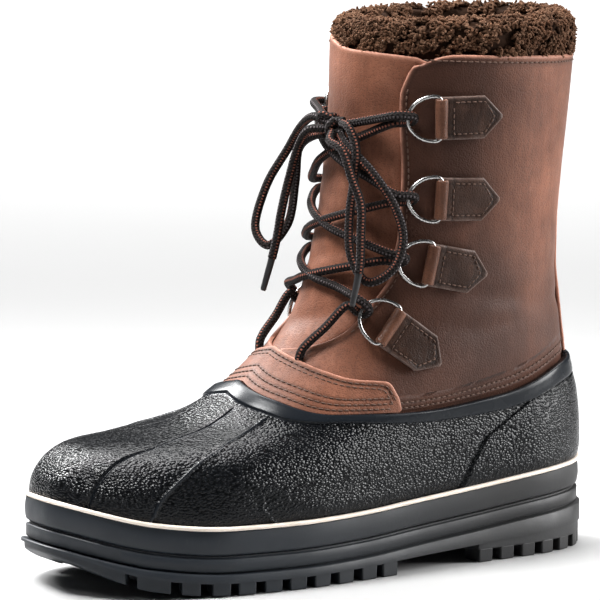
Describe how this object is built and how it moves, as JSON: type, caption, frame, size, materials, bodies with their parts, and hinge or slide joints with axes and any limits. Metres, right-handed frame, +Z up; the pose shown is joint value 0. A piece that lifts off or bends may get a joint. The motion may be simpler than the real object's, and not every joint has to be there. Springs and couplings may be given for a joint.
{
  "type": "pac boot",
  "caption": "Laced winter boot: lugged rubber sole, moulded rubber bottom, brown leather shaft with D-ring lacing, tongue, and a rolled fleece cuff.",
  "frame": {"origin": "on the floor under the middle of the sole", "axes": "+Z up, the toe towards -Y and the heel towards +Y, the boot's outer side towards +X"},
  "size_m": [0.1238, 0.3203, 0.285],
  "materials": {
    "sole_rubber": "matte moulded rubber with fine side grooves",
    "piping": "smooth cream rubber bead",
    "felt": "pressed felt",
    "shell_rubber": "pebbled satin black rubber",
    "leather": "oiled nubuck leather, stitched",
    "fleece": "curly pile",
    "steel": "polished wire",
    "lace_cord": "round braid with rust flecks"
  },
  "bodies": {
    "root": {"outsole": "sole_rubber", "midsole": "sole_rubber", "piping": "piping", "insole": "felt", "shell": "shell_rubber", "shaft": "leather", "vamp": "leather", "tongue": "leather", "back_stay": "leather", "cuff": "fleece", "tab_outer_1": "leather", "ring_outer_1": "steel", "tab_inner_1": "leather", "ring_inner_1": "steel", "tab_outer_2": "leather", "ring_outer_2": "steel", "tab_inner_2": "leather", "ring_inner_2": "steel", "tab_outer_3": "leather", "ring_outer_3": "steel", "tab_inner_3": "leather", "ring_inner_3": "steel", "tab_outer_4": "leather", "ring_outer_4": "steel", "tab_inner_4": "leather", "ring_inner_4": "steel", "lace": "lace_cord", "lace_knot": "lace_cord", "lace_loop_outer": "lace_cord", "lace_loop_inner": "lace_cord", "lace_end_outer": "lace_cord", "lace_end_inner": "lace_cord"}
  },
  "joints": []
}
